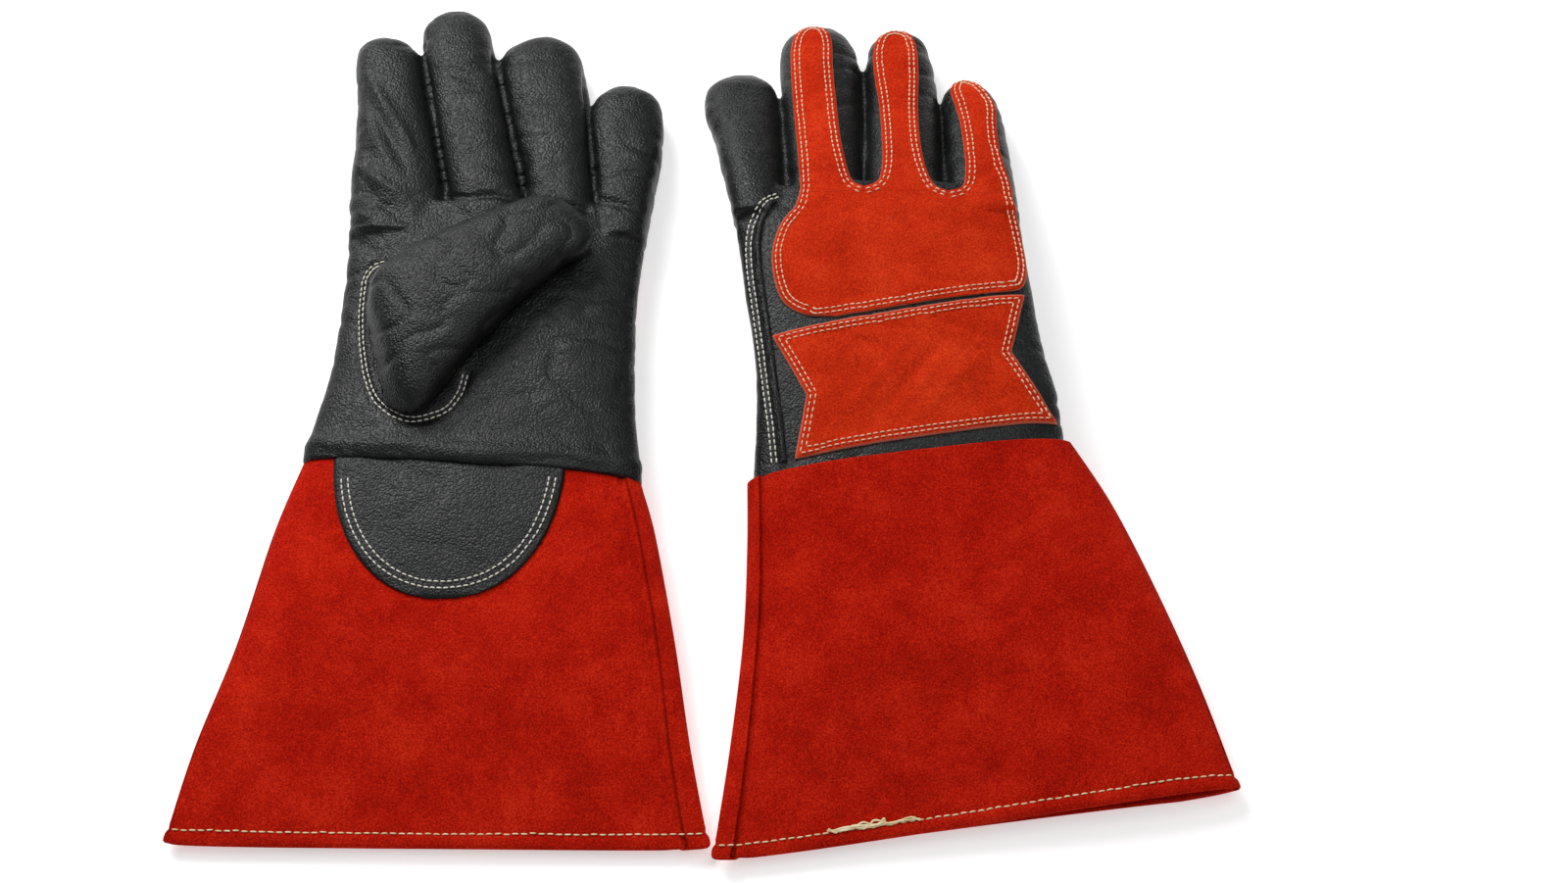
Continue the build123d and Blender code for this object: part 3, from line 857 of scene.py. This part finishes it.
def make_hand(glove, hand, fingers, palm_up):
    """The hand and fingers as one skin with creases, cut into a hand piece and finger pieces."""
    parts = [closed_tube(hand, 90, 110)]
    parts += [closed_tube(stations, 60, 60, FINGER_PUFF) for stations in fingers.values()]
    mesh = remeshed(*joined(parts), VOXEL)
    points = read_points(mesh)
    upward = read_vectors(mesh, "normal")[:, 2]
    swell = lumps(points, 34, 1) + 0.3 * lumps(points, 15, 2)
    folds = creases(points, (30, 13, 22), 4, 3.0) * 1.1 * np.clip(lumps(points, 45, 6) + 0.35, 0, 1)
    fine = creases(points, (17, 9, 12), 8, 2.5) * 0.2
    top_side = np.clip(upward * 3, 0, 1)
    # Grooves and ridges: height, plan path, width and the side they are on.
    if palm_up:
        marks = [(-1.6, BASE_SEAM, 1.3, top_side), (-1.1, THUMB_SEAM, 2.0, top_side)]
        tables = [np.asarray(stations, float)[1:5] for stations in fingers.values()]
        for one, other in zip(tables, tables[1:]):
            web = (one[:, 2:4] + other[:, 0:2]) / 2
            marks.append((-2.6, web, 1.2, np.clip(upward * 2, 0, 1)))
        marks.append((1.0, shifted(THUMB_SEAM[2:8], 3.4), 1.8, top_side))
        marks.append((1.3, WRIST_FOLD, 4.0, top_side))
        seams = along_lines(points, PALM_FOLDS) * top_side
    else:
        marks = [
            (-0.9, shifted(INDEX_SEAM, 2.0), 1.0, top_side),
            (1.3, shifted(INDEX_SEAM[1:], 4.2), 1.3, top_side),
        ]
        seams = np.zeros(len(points))
    for height, path, width, side in marks:
        seams += height * near_path(points, path, width) * side
    table_side = np.clip(-upward, 0, 1)
    push_out(mesh, (swell - folds - fine) * (1 - 0.75 * table_side) + seams)

    owner = owners(mesh, glove, fingers)
    body = cut_out(f"{glove}_hand_leather", mesh, owner == 0)
    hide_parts(f"{glove}_palm_panel", f"{glove}_back_panel", f"{glove}_hand_lining")
    bend_wrist(body)
    for k, finger in enumerate(fingers, 1):
        piece = cut_out(f"{glove}_{finger}_finger_leather", mesh, owner == k)
        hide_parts(f"{glove}_{finger}_finger_front", f"{glove}_{finger}_finger_back")
        bend_finger(piece)
    return Surface(mesh)


def make_thumb(glove, palm_up):
    """The puffed thumb stall that lies on the palm, or under it."""
    stations = THUMB
    if not palm_up:
        mirror = PALM_HEIGHT_LEFT + PALM_HEIGHT_RIGHT
        stations = [
            (*carried((xl, yl)), *carried((xr, yr)), max(THUMB_LOWEST, mirror - high), mirror - low)
            for xl, yl, xr, yr, low, high in THUMB
        ]
    mesh = remeshed(*closed_tube(stations, 70, 90), THUMB_VOXEL)
    points = read_points(mesh)
    folds = 0.9 * creases(points, (24, 15, 18), 22)
    push_out(mesh, lumps(points, 28, 21) - folds - 0.15 * creases(points, 11, 23))
    piece = make_piece(f"{glove}_thumb_leather", read_points(mesh), faces_of(mesh), *LEATHER_LOOK)
    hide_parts(f"{glove}_thumb_front", f"{glove}_thumb_back")
    bend_thumb(piece)


def cuff_points(stations, shares, angles, grow, droop):
    """Points on the cuff's tube, with the mouth's upper lip sunk and pushed forward.

    droop is how far the lip has fallen at the cuff's left and right ends, from 0 to 1.
    """
    points = tube_points(stations, shares, angles, grow, flat=1.15)
    row = np.clip(1 - np.asarray(shares) / LIP_REACH, 0, 1)[:, None] ** 1.6
    left, right = stations[0][0], stations[0][2]
    beside = np.clip((points[:, :, 0] - left) / (right - left), 0, 1)
    fall = row * (droop[0] + (droop[1] - droop[0]) * beside**1.3)
    upper = np.clip(np.sin(angles), 0, 1)[None, :] ** 0.5
    points[:, :, 1] -= LIP_FORWARD * fall * upper
    points[:, :, 2] *= 1 - fall * upper
    return points


def panel(name, stations, angles, grow, droop):
    """A cuff panel from one angle to another, with thickness, a turned hem and rounded edges."""
    rows, columns = ((120, 170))
    shares = np.concatenate([np.linspace(0, 0.06, 10)[:-1], np.linspace(0.06, 1, rows)])
    angles = np.radians(np.linspace(*angles, columns))
    outer = cuff_points(stations, shares, angles, grow, droop)
    inner = cuff_points(stations, shares, angles, grow - SUEDE, droop)
    flat = outer.reshape(-1, 3)
    wave = 1.1 * lumps(flat, 75, 31) + 0.5 * lumps(flat, 26, 32)
    wave -= 0.5 * creases(flat, (40, 30, 30), 33, 4)
    upward = np.clip(np.sin(angles), 0, 1)[None, :]
    wave = wave.reshape(outer.shape[:2]) * upward * np.clip(shares / 0.08, 0.25, 1)[:, None]
    # The swell of the turned hem, the groove of its stitches, and the dip at a side seam.
    hem = np.exp(-((shares / 0.04) ** 4))[:, None] * 0.9
    groove = -0.8 * np.exp(-(((shares - HEM_AT) / 0.0075) ** 2))[:, None]
    beside = np.minimum(np.abs(angles - angles[0]), np.abs(angles[-1] - angles))
    seam = -(1.1 if grow == 0 else -0.5) * np.exp(-((beside / math.radians(5)) ** 2))[None, :]
    outward = outer - inner
    outward /= np.linalg.norm(outward, axis=2)[:, :, None]
    outer = outer + outward * (wave + hem + groove + seam)[:, :, None]
    inner = inner + outward * (wave - 1.4 * hem)[:, :, None]
    outer[:, :, 2] = np.maximum(outer[:, :, 2], 0.0)
    inner[:, :, 2] = np.maximum(inner[:, :, 2], 0.9)
    # The rounded edge of the mouth, as a half circle from the outer to the inner face.
    middle = (outer + inner) / 2
    back = outer[0] - outer[1]
    back /= np.linalg.norm(back, axis=1)[:, None]
    lips = []
    for turn in (60, 30, 0, -30, -60):
        t = math.radians(turn)
        half = (outer[0] - inner[0]) / 2
        reach = np.linalg.norm(half, axis=1)[:, None] * 0.9
        lips.append(middle[0] + half * math.sin(t) + back * reach * math.cos(t))
    loop = np.concatenate([outer[::-1], np.array(lips), inner])
    n_rows, n_columns = loop.shape[:2]
    points = loop.reshape(-1, 3)
    points[:, 2] = np.maximum(points[:, 2], 0.0)
    faces = [tuple(reversed(f)) for f in grid_faces(n_rows, n_columns)]
    # The two side edges, and the far end, close the shell.
    for column in (0, n_columns - 1):
        for r in range(n_rows // 2):
            a = r * n_columns + column
            b = (r + 1) * n_columns + column
            c = (n_rows - 2 - r) * n_columns + column
            d = (n_rows - 1 - r) * n_columns + column
            if b != c and len({a, b, c, d}) == 4:
                faces.append((a, b, c, d) if column == 0 else (d, c, b, a))
    for c in range(n_columns - 1):
        a = (n_rows - 1) * n_columns + c
        faces.append((c, c + 1, a + 1, a))
    return make_piece(name, points, faces, cuff_suede, "deep_red_suede")


def hem_path(stations, droop):
    """Plan points of the hem's stitches from left to right, slightly wavy."""
    angles = np.radians(np.linspace(176, 4, 40))
    line = cuff_points(stations, np.array([HEM_AT]), angles, 0.0, droop)[0]
    return [(x, y + 1.1 * noise.noise(Vector((x / 42, 2, 0)))) for x, y, _ in line]


def make_cuff(glove, stations, palm_up):
    """Suede cuff: the palm panel, the back panel that wraps round one side, and the lining."""
    if palm_up:
        droop = LEFT_DROOP
        top_angles, under_angles = (27, 183), (184, 387)
        names = ("cuff_palm_panel", "cuff_back_panel")
    else:
        droop = RIGHT_DROOP
        top_angles, under_angles = (-3, 155), (155, 357)
        names = ("cuff_back_panel", "cuff_palm_panel")
    top = panel(f"{glove}_cuff_top_suede", stations, top_angles, 0.0, droop)
    under = panel(f"{glove}_cuff_under_suede", stations, under_angles, UNDER_PUFF, droop)
    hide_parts(f"{glove}_{names[0]}")
    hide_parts(f"{glove}_{names[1]}")
    surface = Surface(top.data, under.data)
    bend_wrist(top)
    bend_wrist(under)

    rows, sides = 50, 90
    shares = np.linspace(0.05, 0.98, rows)
    angles = np.linspace(0, 2 * np.pi, sides, endpoint=False)
    outer = cuff_points(stations, shares, angles, -SUEDE - LINING_GAP, droop)
    inner = cuff_points(stations, shares[::-1], angles, -SUEDE - LINING_GAP - LINING, droop)
    points = np.concatenate([outer, inner]).reshape(-1, 3)
    points[:, 2] = np.maximum(points[:, 2], LINING_LOWEST)
    faces = grid_faces(2 * rows, sides, closed=True)
    last = (2 * rows - 1) * sides
    for c in range(sides):
        d = (c + 1) % sides
        faces.append((d, c, last + c, last + d))
    inside = make_piece(f"{glove}_cuff_lining_cotton", points, faces, lining, "cotton_lining")
    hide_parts(f"{glove}_cuff_lining")
    bend_wrist(inside)

    rows = [(hem_path(stations, droop), 0.0)]
    stitches = thread_rows(
        f"{glove}_cuff_hem_thread", surface, rows, True, hem_thread, HEM_PITCH, 0.1, 0.5
    )
    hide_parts(f"{glove}_cuff_hem_stitching")
    bend_wrist(stitches)
    return surface


def make_heel_patch(glove, surface, palm_up):
    """The half-oval leather patch on the palm side of the cuff, with two rows of thread."""
    rows, columns = 34, 64
    grid = np.zeros((rows, columns, 2))
    for r, down in enumerate(np.linspace(0.0, 0.995, rows)):
        half = HEEL_HALF_WIDE * (1 - down**HEEL_POWER) ** (1 / HEEL_POWER)
        for c, t in enumerate(np.linspace(-1, 1, columns)):
            spot = (HEEL_CENTRE[0] + half * t, HEEL_CENTRE[1] - HEEL_DEEP * down + 3.0 * (1 - down))
            grid[r, c] = spot if palm_up else carried(spot)
    piece = laid_sheet(
        f"{glove}_heel_patch_leather", surface, grid[::-1], palm_up, LEATHER_LOOK,
        rims=(True, False, True, True),
    )
    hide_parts(f"{glove}_heel_patch")
    bend_wrist(piece)
    paths = []
    power = 2 / HEEL_POWER
    for inset in HEEL_ROWS:
        path = []
        for t in math.pi * (1.04 + 0.92 * np.arange(60) / 59):
            x = (HEEL_HALF_WIDE - inset) * math.copysign(abs(math.cos(t)) ** power, math.cos(t))
            y = (HEEL_DEEP - inset) * math.copysign(abs(math.sin(t)) ** power, math.sin(t))
            spot = (HEEL_CENTRE[0] + x, HEEL_CENTRE[1] + y + 1.0)
            path.append(spot if palm_up else carried(spot))
        paths.append((path, 0.0))
    stitches = thread_rows(
        f"{glove}_heel_patch_thread", surface, paths, palm_up, white_thread, SEAM_PITCH, PATCH
    )
    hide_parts(f"{glove}_heel_patch_stitching")
    bend_wrist(stitches)


def on_left_finger(grid, finger):
    """Plan points on a right finger at the same shares of the left finger."""
    ours = np.asarray(RIGHT_FINGERS[finger], float)
    theirs = np.asarray(LEFT_FINGERS[finger], float)
    share = (grid[:, :, 1] - ours[0, 1]) / (ours[-1, 1] - ours[0, 1])
    low = KNUCKLE_TOP - ours[0, 1]
    rise = low / (ours[-1, 1] - ours[0, 1])
    start = np.array(carried((STRIPS[finger][0][0][0], KNUCKLE_TOP), False))
    y = start[1] + (share - rise) / (1 - rise) * (theirs[-1, 1] - start[1])
    left = np.interp(grid[:, :, 1], ours[:, 1], ours[:, 0])
    right = np.interp(grid[:, :, 1], ours[:, 1], ours[:, 2])
    across = (grid[:, :, 0] - left) / (right - left)
    left = np.interp(y, theirs[:, 1], theirs[:, 0])
    right = np.interp(y, theirs[:, 1], theirs[:, 2])
    # The strips keep a little inside the finger's edges.
    x = left + (0.08 + 0.84 * across) * (right - left)
    return np.stack([x, y], axis=2)


def mitred_sides(corners, inset):
    """The sides of a plan outline, cut so that rows set in from them meet at the corners."""
    sides = []
    for k, (a, b) in enumerate(zip(corners, corners[1:] + corners[:1])):
        before = Vector(np.subtract(a, corners[k - 1]))
        way = Vector(np.subtract(b, a))
        after = Vector(np.subtract(corners[(k + 2) % len(corners)], b))
        start = Vector(a) - way.normalized() * inset * math.tan(way.angle_signed(before) / -2)
        end = Vector(b) + way.normalized() * inset * math.tan(after.angle_signed(way) / -2)
        sides.append([tuple(start), tuple(end)])
    return sides


def make_back_patches(glove, surface, palm_up):
    """Knuckle patch, wrist patch, finger strips and their thread, on the back of the hand."""
    fine = 1
    upper = not palm_up

    def place(path):
        return [carried(point, False) for point in path] if palm_up else path

    def place_grid(grid):
        return np.array(place(grid.reshape(-1, 2))).reshape(grid.shape)

    def patch_stitches(name, rows):
        return thread_rows(name, surface, rows, upper, patch_thread, SEAM_PITCH, PATCH)

    grid = place_grid(between_curves(KNUCKLE_LEFT, KNUCKLE_RIGHT, 56 // fine, 110 // fine))
    piece = laid_sheet(
        f"{glove}_knuckle_patch_suede", surface, grid, upper, PATCH_LOOK, rims=(1, 0, 1, 1)
    )
    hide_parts(f"{glove}_knuckle_patch")
    bend_wrist(piece)
    edge = place([*reversed(KNUCKLE_LEFT), *KNUCKLE_RIGHT])
    stitches = patch_stitches(f"{glove}_knuckle_patch_thread", [(edge, inset) for inset in PATCH_ROWS])
    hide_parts(f"{glove}_knuckle_patch_stitching")
    bend_wrist(stitches)

    grid = place_grid(between_curves(BOW_LEFT, BOW_RIGHT, 61 // fine, 96 // fine, straight=True))
    folds = () if palm_up else BOW_FOLDS
    piece = laid_sheet(f"{glove}_wrist_patch_suede", surface, grid, upper, PATCH_LOOK, folds=folds)
    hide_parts(f"{glove}_wrist_patch")
    bend_wrist(piece)
    corners = [*BOW_LEFT[::-1], *BOW_RIGHT]
    rows = [(place(side), inset) for inset in PATCH_ROWS for side in mitred_sides(corners, inset)]
    stitches = patch_stitches(f"{glove}_wrist_patch_thread", rows)
    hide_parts(f"{glove}_wrist_patch_stitching")
    bend_wrist(stitches)

    for finger, (left, right) in STRIPS.items():
        grid = between_heights(left, right, 110 // fine, 34 // fine)
        shared_left = 0 if finger == "middle" else left[1][1]
        shared_right = 0 if finger == "little" else right[1][1]
        heights = grid[:, 0, 1]
        rims = (0, 1, heights > shared_left, heights > shared_right)
        path = [p for p in left if p[1] >= shared_left]
        path += [p for p in right[::-1] if p[1] >= shared_right]
        if palm_up:
            grid = on_left_finger(grid, finger)
            path = on_left_finger(np.array([path]), finger)[0]
        piece = laid_sheet(
            f"{glove}_{finger}_strip_suede", surface, grid, upper, PATCH_LOOK, rims=rims
        )
        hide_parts(f"{glove}_{finger}_finger_strip")
        bend_finger(piece)
        rows = [(path, -inset) for inset in PATCH_ROWS]
        bend_finger(patch_stitches(f"{glove}_{finger}_strip_thread", rows))


def make_hand_seams(glove, surface, palm_up):
    """The double seam between index finger and back, its welt, and the thumb's double seam."""
    upper = not palm_up
    seam = [carried(p, False) for p in INDEX_SEAM] if palm_up else INDEX_SEAM
    rows = [(seam, 0.0), (seam, ROW_GAP)]
    stitches = thread_rows(f"{glove}_index_seam_thread", surface, rows, upper, white_thread)
    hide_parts(f"{glove}_index_seam_stitching")
    bend_wrist(stitches)
    grid = between_curves(shifted(seam[1:], 4.0), shifted(seam[1:], 6.2), 90, 7)
    welt = laid_sheet(
        f"{glove}_index_seam_welt_leather", surface, grid, upper, LEATHER_LOOK, thick=0.9
    )
    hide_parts(f"{glove}_index_seam_welt")
    bend_wrist(welt)
    loop = THUMB_SEAM if palm_up else [carried(p) for p in THUMB_SEAM]
    rows = [(loop, 0.0), (loop, ROW_GAP)]
    stitches = thread_rows(f"{glove}_thumb_thread", surface, rows, palm_up, white_thread)
    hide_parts(f"{glove}_thumb_stitching")
    bend_wrist(stitches)


def make_tangle(glove, stations, surface):
    """A loose tangle of thick thread on the hem, as a thin tube along a wandering line."""
    knots, rows, sides, radius = 150, 900, 7, 0.42
    low = hem_path(stations, RIGHT_DROOP)
    points = []
    for k in range(knots):
        t = k / (knots - 1)
        drift = 1.1 * noise.noise(Vector((t * 7, 1, 0)))
        wander = 0.5 + 0.5 * math.sin(2 * math.pi * (2.6 * t) + drift)
        x = 51 + 39 * wander * (0.55 + 0.45 * t) + 2.2 * noise.noise(Vector((t * 22, 4, 0)))
        y = np.interp(x, [p[0] for p in low], [p[1] for p in low])
        y += 2.4 * noise.noise(Vector((t * 26, 9, 0))) + 0.5
        lift = 0.6 + 1.1 * abs(noise.noise(Vector((t * 18, 13, 0))))
        points.append(surface.at(x, y, True, lift)[0])
    curve = smooth_rows(points, np.linspace(0, 1, rows))
    verts = []
    for k in range(rows):
        ahead = curve[min(k + 1, rows - 1)] - curve[max(k - 1, 0)]
        ahead /= max(np.linalg.norm(ahead), 1e-9)
        aside = np.cross(ahead, [0, 0, 1.0])
        aside /= max(np.linalg.norm(aside), 1e-9)
        up = np.cross(aside, ahead)
        for angle in np.linspace(0, 2 * np.pi, sides, endpoint=False):
            verts.append(curve[k] + radius * (aside * math.cos(angle) + up * math.sin(angle)))
    faces = grid_faces(rows, sides, closed=True)
    piece = make_piece(f"{glove}_hem_thread_tangle", verts, faces, hem_thread, "pale_thread")
    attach(piece, f"{glove}_cuff")


def make_glove(glove, cuff, hand, fingers, palm_up):
    """One glove, from its cuff to its thread."""
    cuff_surface = make_cuff(glove, cuff, palm_up)
    hand_surface = make_hand(glove, hand, fingers, palm_up)
    make_heel_patch(glove, cuff_surface, palm_up)
    make_thumb(glove, palm_up)
    make_back_patches(glove, hand_surface, palm_up)
    make_hand_seams(glove, hand_surface, palm_up)
    if not palm_up:
        make_tangle(glove, cuff, cuff_surface)


make_glove("left", LEFT_CUFF, LEFT_HAND, LEFT_FINGERS, palm_up=True)
make_glove("right", RIGHT_CUFF, RIGHT_HAND, RIGHT_FINGERS, palm_up=False)


# -------------------------------------------------------------------- stage


def make_floor():
    """A pale floor that glows a little, so that it stays nearly white."""
    size = 3000
    points = [(-size, -size, 0), (size, -size, 0), (size, size, 0), (-size, size, 0)]
    material, _, _, shader = new_material("pale_floor")
    set_inputs(shader, {
        "Base Color": (0.9, 0.9, 0.9, 1),
        "Roughness": 0.9,
        "Emission Color": (1, 1, 1, 1),
        "Emission Strength": 0.45,
    })
    floor = make_piece("floor", points, [(0, 1, 2, 3)], material)


def add_light(name, place, size, power):
    """A square lamp aimed at the middle of the table; metres and watts."""
    light = bpy.data.lights.new(name, "AREA")
    light.size = size
    light.energy = power
    lamp = bpy.data.objects.new(name, light)
    lamp.location = place
    lamp.rotation_euler = (Vector((0, 0, 0)) - Vector(place)).to_track_quat("-Z", "Y").to_euler()
    bpy.context.scene.collection.objects.link(lamp)


def make_camera():
    """The camera, which looks down at the gloves from the front."""
    camera = bpy.data.cameras.new("camera")
    camera.lens = 65.0
    camera.sensor_width = 36.0
    eye = bpy.data.objects.new("camera", camera)
    back = Vector((0, -math.cos(CAMERA_ELEVATION), math.sin(CAMERA_ELEVATION)))
    eye.location = CAMERA_AIM + back * CAMERA_FAR
    eye.rotation_euler = (-back).to_track_quat("-Z", "Y").to_euler()
    bpy.context.scene.collection.objects.link(eye)
    bpy.context.scene.camera = eye


make_floor()
add_light("key", (-0.6, 0.85, 0.95), 0.7, 17)
add_light("top", (0.5, 0.2, 1.6), 1.2, 8)
add_light("front", (0.1, -1.4, 0.9), 1.0, 2.5)
world = bpy.data.worlds.new("world")
world.use_nodes = True
set_inputs(world.node_tree.nodes["Background"], {"Color": (1, 1, 1, 1), "Strength": 0.17})
bpy.context.scene.world = world
bpy.context.scene.view_settings.view_transform = "Standard"
make_camera()
